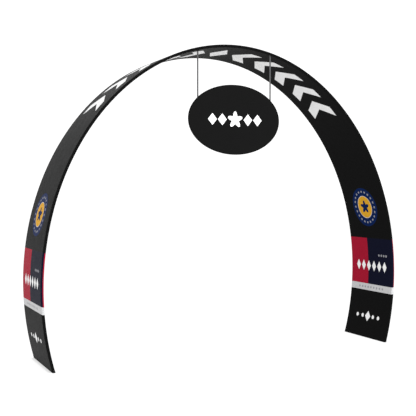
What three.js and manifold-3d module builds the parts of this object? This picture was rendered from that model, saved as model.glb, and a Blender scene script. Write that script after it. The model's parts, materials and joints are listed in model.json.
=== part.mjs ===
// Archway banner stand: a printed stretch-cloth sleeve over two bent tube hoops, with an oval cloth
// sign hanging from the front hoop on two rods. Millimetres, +Z up, +X along the span, -Y to the front.
// The origin lies on the floor, midway between the feet.
import * as THREE from "three";
import { mergeVertices } from "three/addons/utils/BufferGeometryUtils.js";
import Module from "manifold-3d";

// Arch, measured over the cloth
const ARCH_WIDTH = 4000;
const ARCH_HEIGHT = 3184;
const ARCH_DEPTH = 800;
const WIDEST_HEIGHT = 775; // height of the widest place, where the ellipse has its centre
const ARCH_STEPS = 60;
const BELOW_FLOOR = 25; // the sweep runs on below the floor and is then cut level

// Cloth and tubes
const CLOTH = 1.2;
const GAP = 0.3;
const TUBE_RADIUS = 13;
const TUBE_BORE = 11.5;
const EDGE_RADIUS = TUBE_RADIUS + GAP + CLOTH;
const TUBE_SIDES = 12;
const BORE_SIDES = 8;
const QUARTER_STEPS = TUBE_SIDES / 4;
const MERGE_DISTANCE = 1e-3; // corners nearer than this are one corner

// Cross bars between the hoops
const BAR_RADIUS = 11;
const BAR_BORE = 9.8;
const BAR_COUNT = 7;
const FOOT_BAR_HEIGHT = 80;

// Hanging sign, measured over the cloth
const SIGN_WIDTH = 1033;
const SIGN_HEIGHT = 713;
const SIGN_CENTRE_HEIGHT = 2422;
const SIGN_HALF_STEPS = 24;
const HANGER_X = 411;
const HANGER_RADIUS = 7.5;
const HANGER_SIDES = 16;

// Sizes that follow from those above
const HOOP_HALF_WIDTH = ARCH_WIDTH / 2 - EDGE_RADIUS;
const HOOP_RISE = ARCH_HEIGHT - WIDEST_HEIGHT - EDGE_RADIUS;
const HOOP_OFFSET = ARCH_DEPTH / 2 - EDGE_RADIUS;
const FOOT_ANGLE = Math.acos(-(WIDEST_HEIGHT + BELOW_FLOOR) / HOOP_RISE);
const RING_HALF_WIDTH = SIGN_WIDTH / 2 - EDGE_RADIUS;
const RING_HALF_HEIGHT = SIGN_HEIGHT / 2 - EDGE_RADIUS;

const clothMaterial = new THREE.MeshStandardMaterial({ color: 0x17181b, roughness: 0.7, metalness: 0 });
const tubeMaterial = new THREE.MeshStandardMaterial({ color: 0xb9bcbf, roughness: 0.4, metalness: 0.9 });
const rodMaterial = new THREE.MeshStandardMaterial({ color: 0x85878a, roughness: 0.35, metalness: 0.8 });

const wasm = await Module();
wasm.setup();

// All curves lie in the elevation plane: x along the span, y up from the floor, z towards the front.
// An angle is counted clockwise from the top of the ellipse.
class EllipseArc extends THREE.Curve {
  constructor(halfWidth, halfHeight, centreHeight, startAngle, endAngle) {
    super();
    Object.assign(this, { halfWidth, halfHeight, centreHeight, startAngle, endAngle });
  }

  angle(t) {
    return THREE.MathUtils.lerp(this.startAngle, this.endAngle, t);
  }

  getPoint(t, target = new THREE.Vector3()) {
    const angle = this.angle(t);
    return target.set(
      this.halfWidth * Math.sin(angle),
      this.centreHeight + this.halfHeight * Math.cos(angle),
      0,
    );
  }

  getTangent(t, target = new THREE.Vector3()) {
    const angle = this.angle(t);
    return target
      .set(this.halfWidth * Math.cos(angle), -this.halfHeight * Math.sin(angle), 0)
      .normalize();
  }

  heightAt(x) {
    return this.centreHeight + this.halfHeight * Math.sqrt(1 - (x / this.halfWidth) ** 2);
  }
}

const hoopCurve = new EllipseArc(HOOP_HALF_WIDTH, HOOP_RISE, WIDEST_HEIGHT, -FOOT_ANGLE, FOOT_ANGLE);
const ringArc = (start, end) =>
  new EllipseArc(RING_HALF_WIDTH, RING_HALF_HEIGHT, SIGN_CENTRE_HEIGHT, start, end);
const ringRight = ringArc(0, Math.PI);
const ringLeft = ringArc(Math.PI, 2 * Math.PI);

// Solids that can be joined and cut

function toSolid(geometry) {
  const bare = new THREE.BufferGeometry();
  bare.setAttribute("position", geometry.getAttribute("position"));
  bare.setIndex(geometry.getIndex());
  const merged = mergeVertices(bare, MERGE_DISTANCE);
  return new wasm.Manifold(
    new wasm.Mesh({
      numProp: 3,
      vertProperties: merged.getAttribute("position").array,
      triVerts: new Uint32Array(merged.getIndex().array),
    }),
  );
}

function toGeometry(solid) {
  const { vertProperties, triVerts } = solid.getMesh();
  const geometry = new THREE.BufferGeometry();
  geometry.setAttribute("position", new THREE.BufferAttribute(vertProperties, 3));
  geometry.setIndex(new THREE.BufferAttribute(triVerts, 1));
  geometry.computeVertexNormals();
  return geometry;
}

function boxBetween(low, high) {
  const box = new THREE.Box3(low, high);
  const size = box.getSize(new THREE.Vector3());
  const centre = box.getCenter(new THREE.Vector3());
  const geometry = new THREE.BoxGeometry(size.x, size.y, size.z);
  return toSolid(geometry.translate(centre.x, centre.y, centre.z));
}

function namedMesh(name, geometry, material) {
  const mesh = new THREE.Mesh(geometry, material);
  mesh.name = name;
  return mesh;
}

const belowFloor = boxBetween(
  new THREE.Vector3(-ARCH_WIDTH, -ARCH_HEIGHT, -ARCH_DEPTH),
  new THREE.Vector3(ARCH_WIDTH, 0, ARCH_DEPTH),
);

// Sections and sweeps

function arcPoints(centreX, radius, startAngle, endAngle, steps) {
  return Array.from({ length: steps + 1 }, (_, i) => {
    const angle = THREE.MathUtils.lerp(startAngle, endAngle, i / steps);
    return new THREE.Vector2(centreX + radius * Math.cos(angle), radius * Math.sin(angle));
  });
}

function circlePoints(radius, sides) {
  return arcPoints(0, radius, 0, 2 * Math.PI, sides).slice(0, -1);
}

function rodSection(radius) {
  return new THREE.Shape(circlePoints(radius, TUBE_SIDES));
}

function tubeSection(radius, boreRadius) {
  const section = rodSection(radius);
  section.holes.push(new THREE.Path(circlePoints(boreRadius, BORE_SIDES)));
  return section;
}

// One surface of a cloth panel: flat between the hoops, then a quarter turn round each of them, down to
// the seam that the two panels share.
function panelSurface(radius) {
  const seamAngle = Math.asin(GAP / 2 / radius);
  return [
    ...arcPoints(HOOP_OFFSET, radius, seamAngle, Math.PI / 2, QUARTER_STEPS),
    ...arcPoints(-HOOP_OFFSET, radius, Math.PI / 2, Math.PI - seamAngle, QUARTER_STEPS),
  ];
}

// side is 1 for the panel outside the hoops and -1 for the one inside them.
function panelSection(side) {
  const outside = panelSurface(EDGE_RADIUS);
  const inside = panelSurface(EDGE_RADIUS - CLOTH).reverse();
  return new THREE.Shape([...outside, ...inside].map((p) => new THREE.Vector2(p.x, side * p.y)));
}

function sweep(section, path, steps) {
  return new THREE.ExtrudeGeometry(section, { steps, extrudePath: path });
}

// Frame

function hoop(name, z) {
  const swept = sweep(tubeSection(TUBE_RADIUS, TUBE_BORE), hoopCurve, ARCH_STEPS);
  const mesh = namedMesh(name, toGeometry(toSolid(swept).subtract(belowFloor)), tubeMaterial);
  mesh.position.z = z;
  return mesh;
}

// The bars stand at even steps along the hoops, from the left foot to the right one.
function crossBars() {
  const reach = HOOP_OFFSET - TUBE_RADIUS - GAP;
  const line = new THREE.LineCurve3(new THREE.Vector3(0, 0, -reach), new THREE.Vector3(0, 0, reach));
  const geometry = sweep(tubeSection(BAR_RADIUS, BAR_BORE), line, 1);
  const footAngle = Math.acos((FOOT_BAR_HEIGHT - WIDEST_HEIGHT) / HOOP_RISE);
  const span = new EllipseArc(HOOP_HALF_WIDTH, HOOP_RISE, WIDEST_HEIGHT, -footAngle, footAngle);
  return span.getSpacedPoints(BAR_COUNT - 1).map((point, i) => {
    const bar = namedMesh(`cross_bar_${i + 1}`, geometry, tubeMaterial);
    bar.position.copy(point);
    return bar;
  });
}

// The sign's ring is two bent halves that meet at its top and bottom.
function ringHalf(name, curve, side) {
  const tube = sweep(tubeSection(TUBE_RADIUS, TUBE_BORE), curve, SIGN_HALF_STEPS);
  const mesh = namedMesh(name, tube, tubeMaterial);
  mesh.position.x = (side * GAP) / 2;
  return mesh;
}

// Hanger rods

function hangerCylinder(x, radius) {
  const top = hoopCurve.heightAt(x);
  const bottom = ringRight.heightAt(x);
  const geometry = new THREE.CylinderGeometry(radius, radius, top - bottom, HANGER_SIDES);
  return toSolid(geometry.translate(x, (top + bottom) / 2, 0));
}

// A rod's ends are hollowed to sit on the hoop above it and on the ring below it.
function hangerRod(name, x, ringCurve) {
  const seat = rodSection(TUBE_RADIUS + GAP);
  const hoopSeat = toSolid(sweep(seat, hoopCurve, ARCH_STEPS));
  const ringSeat = toSolid(sweep(seat, ringCurve, SIGN_HALF_STEPS));
  const rod = hangerCylinder(x, HANGER_RADIUS).subtract(hoopSeat).subtract(ringSeat);
  return namedMesh(name, toGeometry(rod), rodMaterial);
}

// The room that the rods need where they pass through cloth
const rodHoles = [-HANGER_X, HANGER_X]
  .map((x) => hangerCylinder(x, HANGER_RADIUS + GAP))
  .reduce((left, right) => left.add(right));

// Cloth

function archPanel(name, side) {
  const swept = toSolid(sweep(panelSection(side), hoopCurve, ARCH_STEPS));
  const holes = rodHoles.translate([0, 0, HOOP_OFFSET]);
  return namedMesh(name, toGeometry(swept.subtract(belowFloor).subtract(holes)), clothMaterial);
}

// A disc as wide as the ring, with a round rim of the given radius about it
function signDisc(radius) {
  const outline = [ringRight, ringLeft].flatMap((half) =>
    half.getSpacedPoints(SIGN_HALF_STEPS).slice(0, -1),
  );
  const disc = new THREE.ExtrudeGeometry(new THREE.Shape(outline), {
    depth: GAP,
    bevelSize: radius,
    bevelThickness: radius - GAP / 2,
    bevelSegments: QUARTER_STEPS,
  });
  return toSolid(disc.translate(0, 0, -GAP / 2));
}

// side is 1 for the front panel and -1 for the back one. The seam lies between them.
function signPanel(name, side) {
  const seam = new THREE.Vector3(-SIGN_WIDTH, 0, (side * GAP) / 2);
  const beyond = new THREE.Vector3(SIGN_WIDTH, ARCH_HEIGHT, side * ARCH_DEPTH);
  const half = boxBetween(seam.clone().min(beyond), seam.clone().max(beyond));
  const shell = signDisc(EDGE_RADIUS).subtract(signDisc(EDGE_RADIUS - CLOTH));
  return namedMesh(name, toGeometry(shell.intersect(half).subtract(rodHoles)), clothMaterial);
}

// Scene

// The sign and its rods hang in the plane of the front hoop.
const hangingSign = new THREE.Group();
hangingSign.position.z = HOOP_OFFSET;
hangingSign.add(
  hangerRod("left_hanger_rod", -HANGER_X, ringLeft),
  hangerRod("right_hanger_rod", HANGER_X, ringRight),
  ringHalf("sign_ring_left", ringLeft, -1),
  ringHalf("sign_ring_right", ringRight, 1),
  signPanel("sign_front_panel", 1),
  signPanel("sign_back_panel", -1),
);

// The elevation plane is stood up, with its front towards -Y.
const elevation = new THREE.Group();
elevation.rotation.x = Math.PI / 2;
elevation.add(
  hoop("front_hoop", HOOP_OFFSET),
  hoop("back_hoop", -HOOP_OFFSET),
  ...crossBars(),
  archPanel("arch_outer_panel", 1),
  archPanel("arch_inner_panel", -1),
  hangingSign,
);

const archway = new THREE.Group();
archway.add(elevation);

export default archway;
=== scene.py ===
import json
import logging
import math
from collections.abc import Callable, Iterator
from contextlib import contextmanager
from dataclasses import dataclass, replace
from enum import Enum
from functools import partial

import bpy
import numpy as np
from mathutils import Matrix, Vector

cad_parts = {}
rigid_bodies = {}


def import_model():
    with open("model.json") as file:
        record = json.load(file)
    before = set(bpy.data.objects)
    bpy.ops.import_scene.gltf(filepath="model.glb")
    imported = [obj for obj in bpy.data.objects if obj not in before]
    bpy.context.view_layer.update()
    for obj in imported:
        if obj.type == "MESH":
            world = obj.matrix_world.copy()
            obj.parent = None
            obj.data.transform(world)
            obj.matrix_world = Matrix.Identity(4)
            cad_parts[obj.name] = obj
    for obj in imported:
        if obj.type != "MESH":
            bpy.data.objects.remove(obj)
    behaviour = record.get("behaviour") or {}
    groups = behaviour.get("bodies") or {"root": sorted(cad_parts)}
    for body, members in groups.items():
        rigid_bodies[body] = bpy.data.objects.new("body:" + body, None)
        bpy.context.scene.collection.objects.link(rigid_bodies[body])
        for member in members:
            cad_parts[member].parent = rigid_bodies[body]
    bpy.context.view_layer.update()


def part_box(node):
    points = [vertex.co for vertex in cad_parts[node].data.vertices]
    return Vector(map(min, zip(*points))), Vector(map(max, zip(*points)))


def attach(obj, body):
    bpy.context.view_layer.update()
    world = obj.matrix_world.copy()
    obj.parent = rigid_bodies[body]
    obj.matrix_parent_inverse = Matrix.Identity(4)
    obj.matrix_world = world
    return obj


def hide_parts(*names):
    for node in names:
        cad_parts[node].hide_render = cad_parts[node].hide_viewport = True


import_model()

logging.basicConfig(level=logging.INFO, format="%(name)s: %(message)s")
log = logging.getLogger("archway")

Pair = tuple[float, float]
Place = tuple[float, float, float]
Colour = tuple[float, float, float, float]
Array = np.ndarray
StitchRow = tuple[Array, Array, Array]
Piece = bpy.types.Object
Material = bpy.types.Material
Tree = bpy.types.NodeTree
Socket = bpy.types.NodeSocket
AddNode = Callable[..., list[Socket]]

# Sizes in metres that the frame's boxes don't give and that several pieces share
WIDEST_HEIGHT = 0.775
EDGE_RADIUS = 0.0145
FLOOR_CLEARANCE = 0.0005
SEAM_GAP = 0.0001

# Modelling limits: corners nearer than this are one corner, and edges sharper than this stay sharp
MERGE_DISTANCE = 1e-5
SMOOTH_ANGLE = math.radians(40.0)

CLOTH_MAP = "cloth"

# Signs of the left and the right leg, and of the two sides of a seam
BOTH_SIDES = (-1, 1)

# Nodes that the finishes use often, and sockets that have no name of their own
MATH = "ShaderNodeMath"
MIX = "ShaderNodeMix"
MAP_RANGE = "ShaderNodeMapRange"
NOISE = "ShaderNodeTexNoise"
WAVE = "ShaderNodeTexWave"
COORDINATES = "ShaderNodeTexCoord"
PRINCIPLED = "ShaderNodeBsdfPrincipled"
OUTPUT = "ShaderNodeOutputMaterial"
MIX_FACTOR = 0
MIX_A = 6
MIX_B = 7
MIX_RESULT = 2
OBJECT_PLACE = 3


class Slot(Enum):
    """Material slots of the record."""

    CLOTH = "cloth"
    TUBE = "tube"
    ROD = "rod"


class Side(Enum):
    """The two panels of the sleeve, as the direction in which each looks from the tubes."""

    OUTER = 1
    INNER = -1


class Facing(Enum):
    """Front and back, as the direction of each along y."""

    FRONT = -1
    BACK = 1


class Ink(Enum):
    """Printed colours, as sRGB hex."""

    BLACK = "#0E0E0E"
    SOOT = "#111111"
    WHITE = "#DCDCDC"
    PALE = "#B2B2B3"
    GREY = "#85858A"
    RED = "#90142A"
    NAVY = "#0D0F20"
    ROYAL = "#071B46"
    GOLD = "#C29025"


class Shape(Enum):
    """Outlines that the print is made of."""

    BLOCK = "block"
    DISC = "disc"
    DIAMOND = "diamond"
    CHEVRON = "chevron"
    ROSETTE = "rosette"
    TICKS = "ticks"


class Run(Enum):
    """Direction in which a repeated motif runs on the cloth."""

    ACROSS = 0
    UP = 1


def linear(hex_colour: str) -> Colour:
    """Turns an sRGB hex colour into linear RGBA.

    Args:
        hex_colour: Colour as "#RRGGBB".

    Returns:
        The colour as a shader socket takes it.
    """
    parts = [int(hex_colour[i : i + 2], 16) / 255 for i in (1, 3, 5)]
    red, green, blue = (c / 12.92 if c <= 0.04045 else ((c + 0.055) / 1.055) ** 2.4 for c in parts)
    return red, green, blue, 1.0


def add_node(tree: Tree, kind: str, inputs: dict | None = None, **settings: object) -> list[Socket]:
    """Adds a node with its settings, links and socket values.

    Args:
        tree: Node tree that gets the node.
        kind: Type name of the node.
        inputs: Socket name or index to the output linked to it, or to its value.
        settings: Properties of the node.

    Returns:
        The node's output sockets.
    """
    node = tree.nodes.new(kind)
    for name, value in settings.items():
        setattr(node, name, value)
    for key, value in (inputs or {}).items():
        if isinstance(value, Socket):
            tree.links.new(value, node.inputs[key])
        else:
            node.inputs[key].default_value = value
    return list(node.outputs)


def new_material(name: str) -> tuple[Material, AddNode]:
    """Makes an empty node material.

    Args:
        name: Name of the real material.

    Returns:
        The material, and the function that adds nodes to it.
    """
    material = bpy.data.materials.new(name)
    material.use_nodes = True
    material.node_tree.nodes.clear()
    return material, partial(add_node, material.node_tree)


def band_scale(pitch: float) -> float:
    """Scale of a wave texture whose bands repeat at a pitch in metres."""
    return math.tau / 20 / pitch


def shade(add: AddNode, colour: Colour | Socket, pattern: Socket, tones: Pair) -> Socket:
    """Darkens and lightens a colour by a pattern.

    Args:
        add: Adds a node to the material.
        colour: The colour.
        pattern: Socket that goes from 0 to 1.
        tones: What the colour is multiplied by where the pattern is 0 and where it is 1.

    Returns:
        Socket with the uneven colour.
    """
    low, high = tones
    tone = add(MAP_RANGE, {"Value": pattern, "To Min": low, "To Max": high})[0]
    toned = {MIX_FACTOR: 1.0, MIX_A: colour, MIX_B: tone}
    return add(MIX, toned, data_type="RGBA", blend_type="MULTIPLY")[MIX_RESULT]


def at_depth(plan: Array, y: Array | float) -> Array:
    """Places points of an upright plane in space.

    Args:
        plan: x and z of each point, in the last axis.
        y: Depth of each point, or of all of them.

    Returns:
        x, y and z of each point, in the last axis.
    """
    depth = np.broadcast_to(y, plan.shape[:-1])
    return np.stack([plan[..., 0], depth, plan[..., 1]], axis=-1)


def only(piece: Piece) -> None:
    """Makes a piece the active object and the only selected one.

    Args:
        piece: The piece.
    """
    bpy.ops.object.select_all(action="DESELECT")
    piece.select_set(True)
    bpy.context.view_layer.objects.active = piece


def apply_modifiers(piece: Piece) -> None:
    """Applies a piece's modifiers in their order.

    Args:
        piece: The piece.
    """
    only(piece)
    for name in [modifier.name for modifier in piece.modifiers]:
        bpy.ops.object.modifier_apply(modifier=name)


def smooth(piece: Piece) -> None:
    """Shades a piece smooth, apart from its sharp edges."""
    only(piece)
    bpy.ops.object.shade_smooth_by_angle(angle=SMOOTH_ANGLE)


@contextmanager
def editing(piece: Piece) -> Iterator[None]:
    """Opens a piece in edit mode, selected all over, for as long as a block runs.

    Args:
        piece: The piece.

    Yields:
        Nothing.
    """
    only(piece)
    bpy.ops.object.mode_set(mode="EDIT")
    bpy.ops.mesh.select_all(action="SELECT")
    yield
    bpy.ops.object.mode_set(mode="OBJECT")


def merge_corners(piece: Piece) -> None:
    """Merges the corners of a piece that lie on each other."""
    with editing(piece):
        bpy.ops.mesh.remove_doubles(threshold=MERGE_DISTANCE)


def cut_holes(sheet: Piece, cutters: list[Piece]) -> None:
    """Cuts the rods' holes in a sheet.

    Args:
        sheet: Cloth with its thickness.
        cutters: Cylinders round the rods.
    """
    for cutter in cutters:
        hole = sheet.modifiers.new("rod hole", "BOOLEAN")
        hole.operation = "DIFFERENCE"
        hole.solver = "EXACT"
        hole.object = cutter
    apply_modifiers(sheet)


def fit(piece: Piece, slot: Slot, material: Material, *nodes: str) -> Piece:
    """Gives a finished piece its material and its place in the frame.

    Args:
        piece: The piece, at rest in the row frame.
        slot: Material slot of the record; not used.
        material: What it is made of.
        nodes: CAD nodes that it stands for.

    Returns:
        The piece.
    """
    piece.data.materials.clear()
    piece.data.materials.append(material)
    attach(piece, "root")
    if nodes:
        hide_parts(*nodes)
    log.info("%s: %d faces", piece.name, len(piece.data.polygons))
    return piece


@dataclass(frozen=True)
class Layer:
    """One printed motif, or a row of like ones, in metres on the cloth.

    Attributes:
        shape: Outline of the motif.
        ink: Its colour.
        place: Centre of the first one, across and up the cloth.
        half: Half its width and half its height.
        count: How many stand in the row.
        pitch: Distance from one to the next.
        run: Direction of the row.
        on_crown: Whether it belongs to the crown, where both legs have the same print.
    """

    shape: Shape
    ink: Ink
    place: Pair
    half: Pair
    count: int = 1
    pitch: float = 0.0
    run: Run = Run.ACROSS
    on_crown: bool = False


@dataclass(frozen=True)
class MotifDrawing:
    """Draws motifs in nodes, each as a field that is below 1 inside the outline and above 1 outside."""

    chevron_slope: float = 1.1
    chevron_middle: float = 0.5
    chevron_thinness: float = 1.7
    petals: float = 5.0
    petal_depth: float = 0.24
    ticks: float = 20.0
    tick_gap: float = 1.2
    tick_ring: float = 0.8
    tick_reach: float = 0.045
    off_ring: float = 1.5

    def mask(self, add: AddNode, layer: Layer, across: Socket, up: Socket) -> Socket:
        """Works out where a motif is printed.

        Args:
            add: Adds a node to the material.
            layer: The motif.
            across: Distance across the cloth.
            up: Distance up the cloth.

        Returns:
            Socket that is 1 inside the motif and 0 outside it.
        """
        local = []
        for axis, distance in enumerate((across, up)):
            distance = add(MATH, {0: distance, 1: layer.place[axis]}, operation="SUBTRACT")[0]
            if layer.count > 1 and layer.run.value == axis:
                distance = self.from_nearest(add, layer, distance)
            local.append(add(MATH, {0: distance, 1: layer.half[axis]}, operation="DIVIDE")[0])
        draw = self.round_field if layer.shape in (Shape.DISC, Shape.ROSETTE, Shape.TICKS) else self.field
        reach = draw(add, layer.shape, *local)
        return add(MATH, {0: reach, 1: 1.0}, operation="LESS_THAN")[0]

    def from_nearest(self, add: AddNode, layer: Layer, distance: Socket) -> Socket:
        """Measures a distance along a row from the row's nearest motif.

        Args:
            add: Adds a node to the material.
            layer: The row.
            distance: Distance from the first motif.

        Returns:
            Socket with the distance from the nearest one.
        """
        shifted = add(MATH, {0: distance, 1: layer.pitch / 2}, operation="ADD")[0]
        snapped = add(MATH, {0: shifted, 1: layer.pitch}, operation="SNAP")[0]
        last = layer.pitch * (layer.count - 1)
        nearest = add("ShaderNodeClamp", {"Value": snapped, "Min": 0.0, "Max": last})[0]
        return add(MATH, {0: distance, 1: nearest}, operation="SUBTRACT")[0]

    def field(self, add: AddNode, shape: Shape, across: Socket, up: Socket) -> Socket:
        """Works out the field of a shape with straight edges.

        Args:
            add: Adds a node to the material.
            shape: The outline.
            across: Place across, in half widths.
            up: Place up, in half heights.

        Returns:
            Socket with the field.
        """
        wide = add(MATH, {0: across}, operation="ABSOLUTE")[0]
        if shape is Shape.CHEVRON:
            bent = add(MATH, {0: wide, 1: self.chevron_slope, 2: up}, operation="MULTIPLY_ADD")[0]
            level = add(MATH, {0: bent, 1: self.chevron_middle}, operation="SUBTRACT")[0]
            high = add(MATH, {0: level}, operation="ABSOLUTE")[0]
            thin = add(MATH, {0: high, 1: self.chevron_thinness}, operation="MULTIPLY")[0]
            return add(MATH, {0: thin, 1: wide}, operation="MAXIMUM")[0]
        high = add(MATH, {0: up}, operation="ABSOLUTE")[0]
        joint = "MAXIMUM" if shape is Shape.BLOCK else "ADD"
        return add(MATH, {0: wide, 1: high}, operation=joint)[0]

    def round_field(self, add: AddNode, shape: Shape, across: Socket, up: Socket) -> Socket:
        """Works out the field of a disc, a rosette or a ring of ticks.

        Args:
            add: Adds a node to the material.
            shape: The outline.
            across: Place across, in half widths.
            up: Place up, in half heights.

        Returns:
            Socket with the field.
        """
        flat = add("ShaderNodeCombineXYZ", {"X": across, "Y": up})[0]
        _, radius = add("ShaderNodeVectorMath", {0: flat}, operation="LENGTH")
        if shape is Shape.DISC:
            return radius
        repeats = self.petals if shape is Shape.ROSETTE else self.ticks
        turn = add(MATH, {0: across, 1: up}, operation="ARCTAN2")[0]
        phase = add(MATH, {0: turn, 1: repeats}, operation="MULTIPLY")[0]
        wave = add(MATH, {0: phase}, operation="COSINE")[0]
        if shape is Shape.ROSETTE:
            swing = {0: wave, 1: self.petal_depth, 2: 1 - self.petal_depth}
            edge = add(MATH, swing, operation="MULTIPLY_ADD")[0]
            return add(MATH, {0: radius, 1: edge}, operation="DIVIDE")[0]
        on_ring = add(MATH, {0: radius, 1: self.tick_ring, 2: self.tick_reach}, operation="COMPARE")[0]
        beside = add(MATH, {0: self.off_ring, 1: on_ring}, operation="SUBTRACT")[0]
        between = add(MATH, {0: self.tick_gap, 1: wave}, operation="SUBTRACT")[0]
        return add(MATH, {0: beside, 1: between}, operation="MAXIMUM")[0]


@dataclass(frozen=True)
class PrintedKnit:
    """Stretch polyester knit with a dye print."""

    # Square on, the cloth is matt and its black is deep. Where a curve turns away, its ribs catch the
    # light of the room and it greys. The dye is in the cloth, so the print has the same surface.
    specular: float = 0.016
    roughness: Pair = (0.41, 0.51)
    ground: Ink = Ink.BLACK
    # The real ribs are under 1 mm, drawn at 6 mm so that they show, as a faint and even grain.
    rib_pitch: float = 0.006
    course_pitch: float = 0.006 / 0.7
    rib_wander: float = 0.4
    rib_depth: float = 0.0004
    rib_strength: float = 0.5
    rib_tone: Pair = (0.94, 1.04)
    # Uneven dye, in soft patches a hand wide, takes the flatness off the print.
    dye_patch: float = 1 / 9
    dye_detail: float = 4.0
    dye_tone: Pair = (0.93, 1.07)
    # On the left leg the print is laid this much shorter, about this height.
    left_print: float = 0.932
    left_pivot: float = 0.743
    drawing: MotifDrawing = MotifDrawing()

    def make(
        self, name: str, layers: list[Layer], side: Side | None = None, half_length: float = 0.0
    ) -> Material:
        """Makes the cloth's material, whose print follows the cloth's own map in metres.

        Args:
            name: Name of the material.
            layers: Motifs, the lowest one first.
            side: Panel of the sleeve, whose print stands upright on each leg, or None for the sign.
            half_length: Distance from the arch's crown to its foot along the cloth.

        Returns:
            The material.
        """
        material, add = new_material(name)
        uv = add("ShaderNodeUVMap", uv_map=CLOTH_MAP)[0]
        across, up, _ = add("ShaderNodeSeparateXYZ", {"Vector": uv})
        leg_up = up
        if side is not None:
            leg = add(MATH, {0: up}, operation="SIGN")[0]
            turn = add(MATH, {0: leg, 1: side.value}, operation="MULTIPLY")[0]
            across = add(MATH, {0: across, 1: turn}, operation="MULTIPLY")[0]
            from_crown = add(MATH, {0: up}, operation="ABSOLUTE")[0]
            up = add(MATH, {0: half_length, 1: from_crown}, operation="SUBTRACT")[0]
            leg_up = self.shorter_on_left(add, leg, up)
        colour = linear(self.ground.value)
        for layer in layers:
            inside = self.drawing.mask(add, layer, across, up if layer.on_crown else leg_up)
            inked = {MIX_FACTOR: inside, MIX_A: colour, MIX_B: linear(layer.ink.value)}
            colour = add(MIX, inked, data_type="RGBA")[MIX_RESULT]
        self.weave(add, uv, colour)
        return material

    def shorter_on_left(self, add: AddNode, leg: Socket, up: Socket) -> Socket:
        """Stretches the height on the left leg, where the print is laid a little shorter.

        Args:
            add: Adds a node to the material.
            leg: Socket that is -1 on the left leg and 1 on the right one.
            up: Height along the cloth.

        Returns:
            Socket with the height on the print.
        """
        half = (1 - 1 / self.left_print) / 2
        stretch = add(MATH, {0: leg, 1: half, 2: 1 - half}, operation="MULTIPLY_ADD")[0]
        above = add(MATH, {0: up, 1: self.left_pivot}, operation="SUBTRACT")[0]
        return add(MATH, {0: above, 1: stretch, 2: self.left_pivot}, operation="MULTIPLY_ADD")[0]

    def weave(self, add: AddNode, uv: Socket, colour: Socket) -> None:
        """Adds the knit's ribs, its uneven dye and its surface.

        Args:
            add: Adds a node to the material.
            uv: Place on the cloth.
            colour: Printed colour.
        """
        wander = {"Vector": uv, "Distortion": self.rib_wander}
        wale_bands = {**wander, "Scale": band_scale(self.rib_pitch)}
        course_bands = {**wander, "Scale": band_scale(self.course_pitch)}
        _, wales = add(WAVE, wale_bands, bands_direction="X")
        _, courses = add(WAVE, course_bands, bands_direction="Y")
        ribs = add(MATH, {0: wales, 1: courses}, operation="MULTIPLY")[0]
        patches = add(NOISE, {"Vector": uv, "Scale": 1 / self.dye_patch, "Detail": self.dye_detail})[0]
        dyed = shade(add, colour, patches, self.dye_tone)
        low, high = self.roughness
        matt = add(MAP_RANGE, {"Value": patches, "To Min": low, "To Max": high})[0]
        relief = {"Height": ribs, "Strength": self.rib_strength, "Distance": self.rib_depth}
        look = {
            "Base Color": shade(add, dyed, ribs, self.rib_tone),
            "Roughness": matt,
            "Specular IOR Level": self.specular,
            "Normal": add("ShaderNodeBump", relief)[0],
        }
        add(OUTPUT, {"Surface": add(PRINCIPLED, look)[0]})


@dataclass(frozen=True)
class SatinMetal:
    """Drawn aluminium with a satin anodised skin."""

    name: str
    colour: str
    roughness: Pair
    # Drawing marks along a tube break its reflection into soft grey bands with no glint. The real marks
    # are finer, drawn 1.1 mm wide so that they show.
    mark_width: float = 1 / 900
    mark_length: float = 1 / 18
    mark_detail: float = 3.0
    mark_tone: Pair = (0.85, 1.12)

    def make(self) -> Material:
        """Makes the metal.

        Returns:
            The material.
        """
        material, add = new_material(self.name)
        place = add(COORDINATES)[OBJECT_PLACE]
        scale = (1 / self.mark_width, 1 / self.mark_width, 1 / self.mark_length)
        drawn = add("ShaderNodeMapping", {"Vector": place, "Scale": scale})[0]
        marks = add(NOISE, {"Vector": drawn, "Scale": 1.0, "Detail": self.mark_detail})[0]
        colour = shade(add, linear(self.colour), marks, self.mark_tone)
        low, high = self.roughness
        matt = add(MAP_RANGE, {"Value": marks, "To Min": low, "To Max": high})[0]
        look = {"Base Color": colour, "Metallic": 1.0, "Roughness": matt}
        add(OUTPUT, {"Surface": add(PRINCIPLED, look)[0]})
        return material


@dataclass(frozen=True)
class SewingThread:
    """Spun polyester thread of the seams and hems."""

    # A little lighter than the cloth and twisted, so that a seam reads close by and is lost from afar.
    colour: str = "#161618"
    roughness: float = 0.6
    specular: float = 0.02
    ply_pitch: float = 0.0012
    ply_tone: Pair = (0.7, 1.2)

    def make(self) -> Material:
        """Makes the thread, with the turns of its plies.

        Returns:
            The material.
        """
        material, add = new_material("polyester thread")
        place = add(COORDINATES)[OBJECT_PLACE]
        turns = {"Vector": place, "Scale": band_scale(self.ply_pitch)}
        _, plies = add(WAVE, turns, bands_direction="DIAGONAL")
        colour = shade(add, linear(self.colour), plies, self.ply_tone)
        look = {"Base Color": colour, "Roughness": self.roughness, "Specular IOR Level": self.specular}
        add(OUTPUT, {"Surface": add(PRINCIPLED, look)[0]})
        return material


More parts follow.
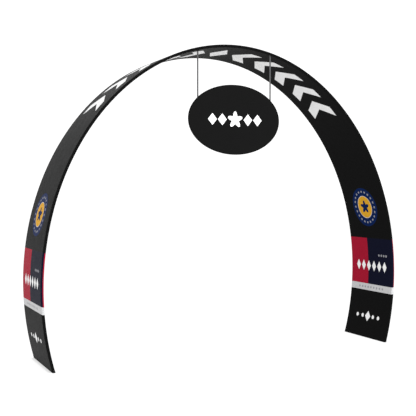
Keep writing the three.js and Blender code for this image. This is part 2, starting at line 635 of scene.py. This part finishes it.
@dataclass(frozen=True)
class LitFloor:
    """White acrylic studio floor lit from below."""

    # The glow shows pure white. It is dimmed where a foot leans close over the floor and covers about
    # half
    # of what is above it: a painted shadow, narrow and soft, along the foot.
    colour: str = "#616161"
    light: str = "#FFFFFF"
    glow: float = 0.92
    contact: float = 0.085
    painted_shadow_dim: float = 0.7
    covered: float = 0.5
    clear: float = 0.68
    roughness: float = 0.9
    mottle: float = 2 / 3
    mottle_detail: float = 3.0
    mottle_tone: Pair = (0.99, 1.0)

    def make(self) -> Material:
        """Makes the floor's matt acrylic, with a very slight mottle and a painted shadow in its glow near
        the feet.

        Returns:
            The material.
        """
        material, add = new_material("backlit white acrylic")
        place = add(COORDINATES)[OBJECT_PLACE]
        patches = add(NOISE, {"Vector": place, "Scale": 1 / self.mottle, "Detail": self.mottle_detail})[0]
        # Ambient occlusion near a foot dims the glow: a painted shadow, not a cast one.
        _, above = add("ShaderNodeAmbientOcclusion", {"Distance": self.contact})
        painted_shadow_glow = {
            "Value": above,
            "From Min": self.covered,
            "From Max": self.clear,
            "To Min": self.painted_shadow_dim * self.glow,
            "To Max": self.glow,
        }
        look = {
            "Base Color": shade(add, linear(self.colour), patches, self.mottle_tone),
            "Roughness": self.roughness,
            "Specular IOR Level": 0.0,
            "Emission Color": linear(self.light),
            "Emission Strength": add(MAP_RANGE, painted_shadow_glow)[0],
        }
        add(OUTPUT, {"Surface": add(PRINCIPLED, look)[0]})
        return material


@dataclass(frozen=True)
class ArchLine:
    """Centre line of an edge tube: an ellipse that runs on below its widest height to the floor.

    Its angles are 0 at the crown and grow to the right.
    """

    half_width: float
    rise: float
    widest: float
    samples: int = 4000
    halvings: int = 60

    def at(self, angle: Array, offset: Array | float) -> Array:
        """Finds points at angles, moved out from the line.

        Args:
            angle: Angles on the ellipse.
            offset: Distance outwards.

        Returns:
            x and z of each point, in the last axis.
        """
        x = self.half_width * np.sin(angle)
        z = self.widest + self.rise * np.cos(angle)
        return np.stack([x, z], axis=-1) + self.outward(angle) * np.asarray(offset)[..., None]

    def outward(self, angle: Array) -> Array:
        """Unit directions out from the line, as x and z."""
        normal = np.stack([self.rise * np.sin(angle), self.half_width * np.cos(angle)], axis=-1)
        return normal / np.linalg.norm(normal, axis=-1, keepdims=True)

    def foot_angle(self, offset: float) -> float:
        """Finds where the line, moved out, comes down to the floor.

        Args:
            offset: Distance outwards.

        Returns:
            The angle there.
        """
        low, high = math.pi / 2, math.pi
        for _ in range(self.halvings):
            middle = (low + high) / 2
            above = self.at(np.array(middle), offset)[1] > FLOOR_CLEARANCE
            low, high = (middle, high) if above else (low, middle)
        return low

    def half_length(self, offset: float = 0.0) -> float:
        """Length from the crown to the floor along the line, moved out by an offset."""
        points = self.at(np.linspace(0, self.foot_angle(offset), self.samples), offset)
        return float(np.linalg.norm(np.diff(points, axis=0), axis=1).sum())

    def angles(self, distances: Array) -> Array:
        """Finds the angles at distances along the line.

        Args:
            distances: Distances from the crown, negative to the left.

        Returns:
            The angle at each.
        """
        sample = np.linspace(0, self.foot_angle(0.0), self.samples)
        steps = np.linalg.norm(np.diff(self.at(sample, 0.0), axis=0), axis=1)
        length = np.concatenate([[0.0], np.cumsum(steps)])
        return np.sign(distances) * np.interp(np.abs(distances), length, sample)


@dataclass
class ClothSheet:
    """A cut piece of cloth: a grid whose points are placed one by one, with a map in metres."""

    name: str
    thickness: float = 0.0012

    def build(self, points: Array, flat: Array, closed: bool = False) -> Piece:
        """Makes the sheet and gives it the cloth's thickness.

        Args:
            points: Place of each grid point, rows by columns by 3, faces outwards.
            flat: Place of each grid point on the flat cloth, rows by columns by 2.
            closed: Whether the columns close on themselves round a pole.

        Returns:
            The sheet.
        """
        rows, columns = points.shape[:2]
        bpy.ops.object.select_all(action="DESELECT")
        bpy.ops.mesh.primitive_grid_add(x_subdivisions=columns - 1, y_subdivisions=rows - 1, size=1.0)
        sheet = bpy.context.object
        sheet.name = self.name
        sheet.data.vertices.foreach_set("co", points.reshape(-1))
        uv_map = sheet.data.uv_layers.active
        uv_map.name = CLOTH_MAP
        corner = np.zeros(len(sheet.data.loops), np.int32)
        sheet.data.loops.foreach_get("vertex_index", corner)
        uv_map.data.foreach_set("uv", flat.reshape(-1, 2)[corner].reshape(-1))
        sheet.data.update()
        if closed:
            merge_corners(sheet)
        layers = sheet.modifiers.new("cloth", "SOLIDIFY")
        layers.thickness = self.thickness
        layers.offset = -1.0
        apply_modifiers(sheet)
        return sheet


@dataclass
class Stitching:
    """Rows of short straight stitches, joined into one mesh."""

    length: float = 0.006
    thread: float = 0.0005
    flatness: float = 0.6
    pitch: float = 0.010
    sides: int = 6
    rings: int = 4
    digits: int = 7

    def stitch(self, name: str) -> Piece:
        """Models one stitch, long in z and flattened in y.

        Args:
            name: Name of the piece.

        Returns:
            The stitch.
        """
        bpy.ops.object.select_all(action="DESELECT")
        bpy.ops.mesh.primitive_uv_sphere_add(segments=self.sides, ring_count=self.rings, radius=1.0)
        stitch = bpy.context.object
        stitch.name = name
        with editing(stitch):
            bpy.ops.transform.resize(value=(self.thread, self.thread * self.flatness, self.length / 2))
        return stitch

    def build(self, name: str, rows: list[StitchRow]) -> Piece:
        """Copies the stitch along every row.

        Args:
            name: Name of the piece.
            rows: For each row, the stitches' centres, unit directions and unit normals of the cloth.

        Returns:
            The joined stitches.
        """
        centres, along, normals = (np.concatenate(part) for part in zip(*rows))
        seam = self.stitch(name)
        # A sphere's corners and faces come in no fixed order. Sorted, they give the same mesh each run.
        corners = np.array([vertex.co for vertex in seam.data.vertices]).round(self.digits)
        order = np.lexsort(corners.T)
        single = corners[order]
        rank = np.argsort(order)
        rings = [rank[list(polygon.vertices)] for polygon in seam.data.polygons]
        faces = sorted(np.roll(ring, -ring.argmin()).tolist() for ring in rings)
        axes = np.stack([np.cross(normals, along), normals, along], axis=1)
        placed = centres[:, None, :] + np.einsum("vk,nkc->nvc", single, axes)
        joined = [[i + n * len(single) for i in face] for n in range(len(centres)) for face in faces]
        mesh = bpy.data.meshes.new(name)
        mesh.from_pydata(placed.reshape(-1, 3).tolist(), [], joined)
        old, seam.data = seam.data, mesh
        bpy.data.meshes.remove(old)
        only(seam)
        bpy.ops.object.shade_smooth()
        return seam


@dataclass
class LegPrint:
    """Print of one panel: heights above the floor along the cloth, in metres.

    crown_start is where the run of chevrons starts, and crown the height of the arch's top.
    """

    crown_start: float
    crown: float
    stripe_low: float = 0.544
    block_low: float = 0.621
    block_high: float = 1.161
    row: float = 0.836
    dots: float = 0.966
    badge: float = 1.533
    mark: float = 0.245
    half_width: float = 0.46
    division: float = -0.061
    chevrons: int = 5

    def layers(self) -> list[Layer]:
        """Lists the motifs: colour block, stripe, badge, small rows and the run over the crown.

        Returns:
            The motifs, the lowest one first.
        """
        block = (self.block_low + self.block_high) / 2
        block_half = (self.block_high - self.block_low) / 2
        red = (self.division - self.half_width) / 2
        red_half = (self.division + self.half_width) / 2
        stripe = (self.stripe_low + self.block_low) / 2
        stripe_half = (self.block_low - self.stripe_low) / 2
        pitch = (self.crown - self.crown_start) / self.chevrons
        run = (self.chevrons, pitch, Run.UP, True)
        # Columns: shape, ink, centre of the first, half size, count, pitch
        return [
            Layer(Shape.BLOCK, Ink.NAVY, (0.0, block), (self.half_width, block_half)),
            Layer(Shape.BLOCK, Ink.RED, (red, block), (red_half, block_half)),
            Layer(Shape.BLOCK, Ink.PALE, (0.0, stripe), (self.half_width, stripe_half)),
            Layer(Shape.DISC, Ink.GREY, (-0.22, stripe), (0.013, 0.013), 9, 0.055),
            Layer(Shape.DIAMOND, Ink.WHITE, (-0.25, self.row), (0.038, 0.062), 6, 0.1),
            Layer(Shape.DISC, Ink.GREY, (0.15, self.dots), (0.014, 0.014), 4, 0.045),
            Layer(Shape.DISC, Ink.ROYAL, (0.0, self.badge), (0.226, 0.230)),
            Layer(Shape.TICKS, Ink.GREY, (0.0, self.badge), (0.226, 0.230)),
            Layer(Shape.DISC, Ink.PALE, (0.0, self.badge), (0.132, 0.134)),
            Layer(Shape.DISC, Ink.GOLD, (0.0, self.badge), (0.126, 0.128)),
            Layer(Shape.ROSETTE, Ink.ROYAL, (0.0, self.badge), (0.078, 0.078)),
            Layer(Shape.DISC, Ink.WHITE, (-0.2, self.mark), (0.022, 0.022), 5, 0.1),
            Layer(Shape.DIAMOND, Ink.WHITE, (0.0, self.mark), (0.05, 0.06)),
            Layer(Shape.CHEVRON, Ink.WHITE, (0.0, self.crown_start), (0.22, 0.11), *run),
            Layer(Shape.DIAMOND, Ink.WHITE, (0.0, self.crown), (0.22, 0.1), on_crown=True),
        ]


@dataclass
class ArchSleeve:
    """Cloth sleeve of the arch: an outer and an inner panel, sewn together along both rims."""

    line: ArchLine
    plane: float
    rows: int = 240
    flat_columns: int = 20
    edge_columns: int = 8
    hem: float = 0.028
    hem_rise: float = 0.0008
    hem_rows: tuple[float, ...] = (-0.012, -0.001, 0.0, 0.002, 0.014)
    hem_stitch_drop: float = 0.005
    seam_rise: float = 0.0007
    stitch_offset: float = 0.004
    # Length of the run of chevrons from the crown down each leg, on the outer and the inner panel
    runs: Pair = (1.5, 1.4)
    # Share of the outer panel's gloss that the inner panel has, whose dull face shows
    inner_gloss: float = 0.42

    def row_places(self) -> Array:
        """Places the grid's rows, closer together round the hems.

        Returns:
            Distance of each row from the crown.
        """
        half = self.line.half_length()
        hem_rows = half - self.hem - np.array(self.hem_rows)
        places = [np.linspace(-half, half, self.rows + 1), hem_rows, -hem_rows]
        return np.sort(np.concatenate(places))

    def section(self, side: Side) -> Array:
        """Draws the cross section of a panel, from one seam to the other.

        Args:
            side: Which panel.

        Returns:
            y, distance out from the tubes' line and place on the flat cloth of each column.
        """
        turn = np.linspace(SEAM_GAP / 2 / EDGE_RADIUS, math.pi / 2, self.edge_columns + 1)
        radius = np.full_like(turn, EDGE_RADIUS)
        radius[0] += self.seam_rise
        across = self.plane + radius * np.cos(turn)
        out = radius * np.sin(turn)
        cloth = self.plane + EDGE_RADIUS * (math.pi / 2 - turn)
        flat = np.linspace(-self.plane, self.plane, self.flat_columns + 1)[1:-1]
        y = np.concatenate([-across, flat, across[::-1]])
        n = np.concatenate([out, np.full_like(flat, EDGE_RADIUS), out[::-1]])
        w = np.concatenate([-cloth, flat, cloth[::-1]])
        section = np.stack([y, side.value * n, w], axis=1)
        return section[::-1] if side is Side.OUTER else section

    def panel(self, side: Side) -> Piece:
        """Makes one panel over the tubes.

        Args:
            side: Which panel.

        Returns:
            The cloth sheet.
        """
        section = self.section(side)
        places = self.row_places()
        angles = self.line.angles(places)
        feet = np.array([self.line.foot_angle(n) for n in section[:, 1]])
        stretch = feet / self.line.foot_angle(0.0)
        in_hem = self.line.half_length() - np.abs(places) < self.hem
        rise = self.hem_rise * side.value * in_hem
        offsets = section[None, :, 1] + rise[:, None]
        plan = self.line.at(angles[:, None] * stretch[None, :], offsets)
        points = at_depth(plan, section[None, :, 0])
        points[..., 2] = np.maximum(points[..., 2], FLOOR_CLEARANCE)
        flat = np.stack(np.meshgrid(section[:, 2], places), axis=-1)
        return ClothSheet(f"{side.name.lower()}_sleeve_cloth").build(points, flat)

    def seam_stitches(self, rim: Facing) -> Piece:
        """Sews the two panels together along one rim, with a row on each side of the seam.

        Args:
            rim: Which rim.

        Returns:
            The stitches.
        """
        sewing = Stitching()
        half = self.line.half_length() - self.hem
        angles = self.line.angles(np.arange(-half, half, sewing.pitch))
        out = self.line.outward(angles)
        along = at_depth(np.stack([out[:, 1], -out[:, 0]], axis=-1), 0.0)
        rows = []
        for row in BOTH_SIDES:
            lean = row * self.stitch_offset / EDGE_RADIUS
            plan = self.line.at(angles, EDGE_RADIUS * math.sin(lean))
            centres = at_depth(plan, rim.value * (self.plane + EDGE_RADIUS * math.cos(lean)))
            normals = at_depth(out * math.sin(lean), rim.value * math.cos(lean))
            rows.append((centres, along, normals))
        return sewing.build(f"{rim.name.lower()}_rim_stitches", rows)

    def hem_stitches(self, side: Side) -> Piece:
        """Sews a panel's two hems, at the feet.

        Args:
            side: Which panel.

        Returns:
            The stitches.
        """
        sewing = Stitching()
        across = np.arange(-self.plane + sewing.pitch / 2, self.plane, sewing.pitch)
        along = np.tile([0.0, 1.0, 0.0], (len(across), 1))
        rows = []
        for leg in BOTH_SIDES:
            place = leg * (self.line.half_length() - self.hem + self.hem_stitch_drop)
            angles = self.line.angles(np.full(len(across), place))
            plan = self.line.at(angles, side.value * (EDGE_RADIUS + self.hem_rise))
            normals = at_depth(self.line.outward(angles) * side.value, 0.0)
            rows.append((at_depth(plan, across), along, normals))
        return sewing.build(f"{side.name.lower()}_hem_stitches", rows)

    def dress(self, knit: PrintedKnit, thread: Material, cutters: list[Piece]) -> None:
        """Args:
            knit: Finish of the cloth.
            thread: Material of the sewing.
            cutters: Cylinders that leave the rods' holes in the inner panel.
        """
        half = self.line.half_length()
        knits = (knit, replace(knit, specular=self.inner_gloss * knit.specular))
        rims = [fit(self.seam_stitches(rim), Slot.CLOTH, thread) for rim in Facing]
        for side, panel_knit, run, rim in zip(Side, knits, self.runs, rims):
            sheet = self.panel(side)
            if side is Side.INNER:
                cut_holes(sheet, cutters)
            smooth(sheet)
            layers = LegPrint(half - run, half).layers()
            face = side.name.lower()
            cloth = panel_knit.make(f"printed stretch knit, {face} face", layers, side, half)
            fit(sheet, Slot.CLOTH, cloth, f"arch_{face}_panel")
            hems = fit(self.hem_stitches(side), Slot.CLOTH, thread)
            2 * self.line.half_length(side.value * EDGE_RADIUS)


@dataclass
class HangingSign:
    """Oval sign in the plane of the front hoop: two cloth panels over a tube ring, on two rods."""

    half_width: float
    half_height: float
    centre_height: float
    plane: float
    around: int = 128
    flat_shares: tuple[float, ...] = (0.0, 0.25, 0.5, 0.75, 0.9)
    edge_rows: int = 8
    ring_steps: int = 64
    ring_joint: float = 0.001
    stitch_offset: float = 0.004

    def ellipse(self, turn: Array) -> tuple[Array, Array]:
        """Finds the ring's centre line and its outward directions, from the sign's centre.

        Args:
            turn: Angles, 0 at the right end and growing upwards.

        Returns:
            Points and unit directions, as x and z.
        """
        points = np.stack([self.half_width * np.cos(turn), self.half_height * np.sin(turn)], axis=-1)
        out = np.stack([self.half_height * np.cos(turn), self.half_width * np.sin(turn)], axis=-1)
        return points, out / np.linalg.norm(out, axis=-1, keepdims=True)

    def placed(self, plan: Array, y: Array | float) -> Array:
        """Places points that are given from the sign's centre in the frame."""
        return at_depth(plan + np.array([0.0, self.centre_height]), y)

    def ring_halves(self) -> dict[str, Array]:
        """Draws the centre lines of the ring's two halves.

        Returns:
            Points of each half, by CAD node.
        """
        halves = {}
        reach = math.pi / 2 - self.ring_joint
        for node, middle in (("sign_ring_left", math.pi), ("sign_ring_right", 0.0)):
            points, _ = self.ellipse(np.linspace(middle - reach, middle + reach, self.ring_steps + 1))
            halves[node] = self.placed(points, self.plane)
        return halves

    def panel(self, facing: Facing) -> Piece:
        """Makes one cloth panel, from its middle out round the ring to the seam.

        Args:
            facing: Which panel.

        Returns:
            The cloth sheet.
        """
        turn = np.linspace(0, math.tau, self.around + 1) * facing.value
        points, out = self.ellipse(turn)
        plan = [points * share for share in self.flat_shares]
        flat = list(plan)
        depth = [EDGE_RADIUS] * len(plan)
        for lean in np.linspace(0, math.pi / 2 - SEAM_GAP / 2 / EDGE_RADIUS, self.edge_rows + 1):
            plan.append(points + out * EDGE_RADIUS * math.sin(lean))
            flat.append(points + out * EDGE_RADIUS * lean)
            depth.append(EDGE_RADIUS * math.cos(lean))
        grid = self.placed(np.array(plan), self.plane + facing.value * np.array(depth)[:, None])
        cloth = np.array(flat) * np.array([-facing.value, 1.0])
        return ClothSheet(f"sign_{facing.name.lower()}_cloth").build(grid, cloth, closed=True)

    def seam_stitches(self) -> Piece:
        """Sews the two panels together round the rim, with a row on each side of the seam.

        Returns:
            The stitches.
        """
        sewing = Stitching()
        girth = math.pi * (self.half_width + self.half_height)
        turn = np.linspace(0, math.tau, int(girth / sewing.pitch), endpoint=False)
        points, out = self.ellipse(turn)
        along = at_depth(np.stack([-out[:, 1], out[:, 0]], axis=-1), 0.0)
        rows = []
        for row in BOTH_SIDES:
            lean = row * self.stitch_offset / EDGE_RADIUS
            plan = points + out * EDGE_RADIUS * math.cos(lean)
            centres = self.placed(plan, self.plane + EDGE_RADIUS * math.sin(lean))
            normals = at_depth(out * math.cos(lean), math.sin(lean))
            rows.append((centres, along, normals))
        return sewing.build("sign_seam_stitches", rows)

    def layers(self) -> list[Layer]:
        """Lists the sign's print, a rosette between two pairs of diamonds.

        Returns:
            The motifs.
        """
        return [
            Layer(Shape.ROSETTE, Ink.WHITE, (0.0, 0.0), (0.085, 0.085)),
            Layer(Shape.DIAMOND, Ink.WHITE, (-0.255, 0.0), (0.05, 0.06), 2, 0.11),
            Layer(Shape.DIAMOND, Ink.WHITE, (0.145, 0.0), (0.05, 0.06), 2, 0.11),
        ]

    def dress(self, knit: PrintedKnit, thread: Material, cutters: list[Piece]) -> None:
        """Args:
            knit: Finish of the cloth.
            thread: Material of the sewing.
            cutters: Cylinders that leave the rods' notches in the seam.
        """
        seam = fit(self.seam_stitches(), Slot.CLOTH, thread)
        cloth = replace(knit, ground=Ink.SOOT).make("printed stretch knit, sign", self.layers())
        for facing in Facing:
            sheet = self.panel(facing)
            cut_holes(sheet, cutters)
            smooth(sheet)
            fit(sheet, Slot.CLOTH, cloth, f"sign_{facing.name.lower()}_panel")


@dataclass
class TubeFrame:
    """Bent tube hoops, cross bars and the sign's ring, closed in between the cloth panels."""

    line: ArchLine
    plane: float
    radius: float = 0.013
    wall: float = 0.0015
    steps: int = 200
    roundness: int = 4
    overrun: float = 0.02

    def tube(self, name: str, points: Array) -> Piece:
        """Sweeps a round tube with its wall along a line.

        Args:
            name: Name of the piece.
            points: Points of the line.

        Returns:
            The tube, as a mesh with open ends.
        """
        curve = bpy.data.curves.new(name, "CURVE")
        curve.dimensions = "3D"
        curve.bevel_depth = self.radius
        curve.bevel_resolution = self.roundness
        spline = curve.splines.new("POLY")
        spline.points.add(len(points) - 1)
        for point, place in zip(spline.points, points):
            point.co = (*place, 1.0)
        tube = bpy.data.objects.new(name, curve)
        bpy.context.collection.objects.link(tube)
        only(tube)
        bpy.ops.object.convert(target="MESH")
        tube = bpy.context.object
        wall = tube.modifiers.new("wall", "SOLIDIFY")
        wall.thickness = self.wall
        wall.offset = -1.0
        apply_modifiers(tube)
        return tube

    def hoop(self, facing: Facing) -> Piece:
        """Makes one hoop: a bent tube, swept past the floor and cut level there.

        Args:
            facing: Which hoop.

        Returns:
            The hoop.
        """
        end = self.line.foot_angle(0.0) + self.overrun
        plan = self.line.at(np.linspace(-end, end, self.steps + 1), 0.0)
        points = at_depth(plan, facing.value * self.plane)
        hoop = self.tube(f"{facing.name.lower()}_hoop_tube", points)
        floor = (0, 0, FLOOR_CLEARANCE)
        with editing(hoop):
            bpy.ops.mesh.bisect(plane_co=floor, plane_no=(0, 0, 1), use_fill=True, clear_inner=True)
        return hoop

    def dress(self, tube: Material, sign: HangingSign) -> None:
        """Builds the bent tubes and gives every tube its finish.

        Args:
            tube: Material of the tubes.
            sign: The sign whose ring is part of the frame.
        """
        bent = {f"{facing.name.lower()}_hoop": self.hoop(facing) for facing in Facing}
        for node, points in sign.ring_halves().items():
            bent[node] = self.tube(f"{node}_tube", points)
        for node, piece in bent.items():
            smooth(piece)
            fit(piece, Slot.TUBE, tube, node)
        for bar in [o for o in bpy.data.objects if o.name.startswith("cross_bar_")]:
            bar.data.materials.clear()
            bar.data.materials.append(tube)
            log.info("%s: satin tube", bar.name)


@dataclass
class HangerRods:
    """Two straight grey rods from the front hoop down to the sign's ring."""

    nodes: tuple[str, str] = ("left_hanger_rod", "right_hanger_rod")
    seat_length: float = 0.03
    hole_radius: float = 0.0078
    hole_sides: int = 24
    flat_angle: float = math.radians(1.0)

    def cutters(self) -> list[Piece]:
        """Makes the cylinders that leave the rods' holes in the cloth.

        Returns:
            A cylinder for each rod.
        """
        made = []
        for node in self.nodes:
            low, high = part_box(node)
            bpy.ops.object.select_all(action="DESELECT")
            bpy.ops.mesh.primitive_cylinder_add(
                vertices=self.hole_sides,
                radius=self.hole_radius,
                depth=high.z - low.z,
                location=(low + high) / 2,
            )
            bpy.ops.object.transform_apply(location=True, rotation=True, scale=True)
            made.append(bpy.context.object)
        return made

    def dress(self, rod: Material) -> None:
        """Makes a round rod from a copy of each solid, and parts its long sides from its hollowed ends.

        Args:
            rod: Material of the rods.
        """
        for node in self.nodes:
            low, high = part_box(node)
            piece = bpy.data.objects.new(f"{node}_metal", bpy.data.objects[node].data.copy())
            bpy.context.collection.objects.link(piece)
            merge_corners(piece)
            with editing(piece):
                bpy.ops.mesh.dissolve_limited(angle_limit=self.flat_angle)
            for height in (low.z + self.seat_length, high.z - self.seat_length):
                with editing(piece):
                    bpy.ops.mesh.bisect(plane_co=(0, 0, height), plane_no=(0, 0, 1))
            smooth(piece)
            fit(piece, Slot.ROD, rod, node)


@dataclass(frozen=True)
class SoftBox:
    """A square soft light: its name, its place, the length of its side and its watts."""

    name: str
    place: Place
    size: float
    power: float

    def build(self, target: Place) -> None:
        """Adds the light, pointed at the arch.

        Args:
            target: What it points at.
        """
        bpy.ops.object.light_add(type="AREA", location=self.place)
        light = bpy.context.object
        light.name = self.name
        light.data.energy = self.power
        light.data.size = self.size
        aim = Vector(target) - Vector(self.place)
        light.rotation_euler = aim.to_track_quat("-Z", "Y").to_euler()
        # The cloth mirrors the white room alone, so that no lamp glares on it in any view.
        light.visible_glossy = False


@dataclass
class Studio:
    """White studio: even light from all round, soft boxes in front, above and at the left, the camera."""

    camera_place: Place = (-3.7499, -7.9855, 1.7147)
    camera_tilt: float = 88.698
    camera_turn: float = -24.4275
    lens: float = 71.66
    sensor: float = 36.0
    view_distance: float = 300.0
    floor_size: float = 120.0
    room_colour: str = "#FFFFFF"
    room_light: float = 1.2
    target: Place = (0.0, -0.4, 1.7)
    soft_boxes: tuple[SoftBox, ...] = (
        SoftBox("front_light", (1.5, -10.0, 1.6), 3.0, 950.0),
        SoftBox("top_light", (3.0, 0.5, 11.0), 8.0, 600.0),
        SoftBox("side_light", (-6.5, -1.5, 1.6), 2.5, 45.0),
    )

    def build(self, floor: Material) -> None:
        """Sets up the floor, the light and the camera.

        Args:
            floor: Material of the floor.
        """
        bpy.ops.object.select_all(action="DESELECT")
        bpy.ops.mesh.primitive_plane_add(size=self.floor_size)
        ground = bpy.context.object
        ground.name = "studio_floor"
        ground.data.materials.append(floor)
        scene = bpy.context.scene
        scene.view_settings.view_transform = "Standard"
        scene.world = self.room()
        for box in self.soft_boxes:
            box.build(self.target)
        scene.camera = self.camera()

    def room(self) -> bpy.types.World:
        """Makes the white room.

        Returns:
            The world.
        """
        world = bpy.data.worlds.new("white studio")
        world.use_nodes = True
        tree = world.node_tree
        tree.nodes.clear()
        white = {"Color": linear(self.room_colour), "Strength": self.room_light}
        walls = add_node(tree, "ShaderNodeBackground", white)[0]
        add_node(tree, "ShaderNodeOutputWorld", {"Surface": walls})
        return world

    def camera(self) -> Piece:
        """Places the camera.

        Returns:
            The camera.
        """
        turn = (math.radians(self.camera_tilt), 0.0, math.radians(self.camera_turn))
        bpy.ops.object.camera_add(location=self.camera_place, rotation=turn)
        camera = bpy.context.object
        camera.data.lens = self.lens
        camera.data.sensor_width = self.sensor
        camera.data.clip_end = self.view_distance
        return camera


def main() -> None:
    """Builds the looks of the archway in order."""
    _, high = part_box("arch_outer_panel")
    plane = high.y - EDGE_RADIUS
    line = ArchLine(high.x - EDGE_RADIUS, high.z - EDGE_RADIUS - WIDEST_HEIGHT, WIDEST_HEIGHT)
    sign_low, sign_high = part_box("sign_front_panel")
    sign = HangingSign(
        half_width=(sign_high.x - sign_low.x) / 2 - EDGE_RADIUS,
        half_height=(sign_high.z - sign_low.z) / 2 - EDGE_RADIUS,
        centre_height=(sign_low.z + sign_high.z) / 2,
        plane=-plane,
    )
    knit = PrintedKnit()
    thread = SewingThread().make()
    tube = SatinMetal("satin anodised aluminium", "#B8BABC", (0.30, 0.46)).make()
    rod = SatinMetal("satin grey aluminium rod", "#6C6C6D", (0.32, 0.48)).make()
    rods = HangerRods()
    cutters = rods.cutters()
    TubeFrame(line, plane).dress(tube, sign)
    ArchSleeve(line, plane).dress(knit, thread, cutters)
    sign.dress(knit, thread, cutters)
    rods.dress(rod)
    for cutter in cutters:
        bpy.data.objects.remove(cutter)
    Studio().build(LitFloor().make())


if __name__ == "__main__":
    main()
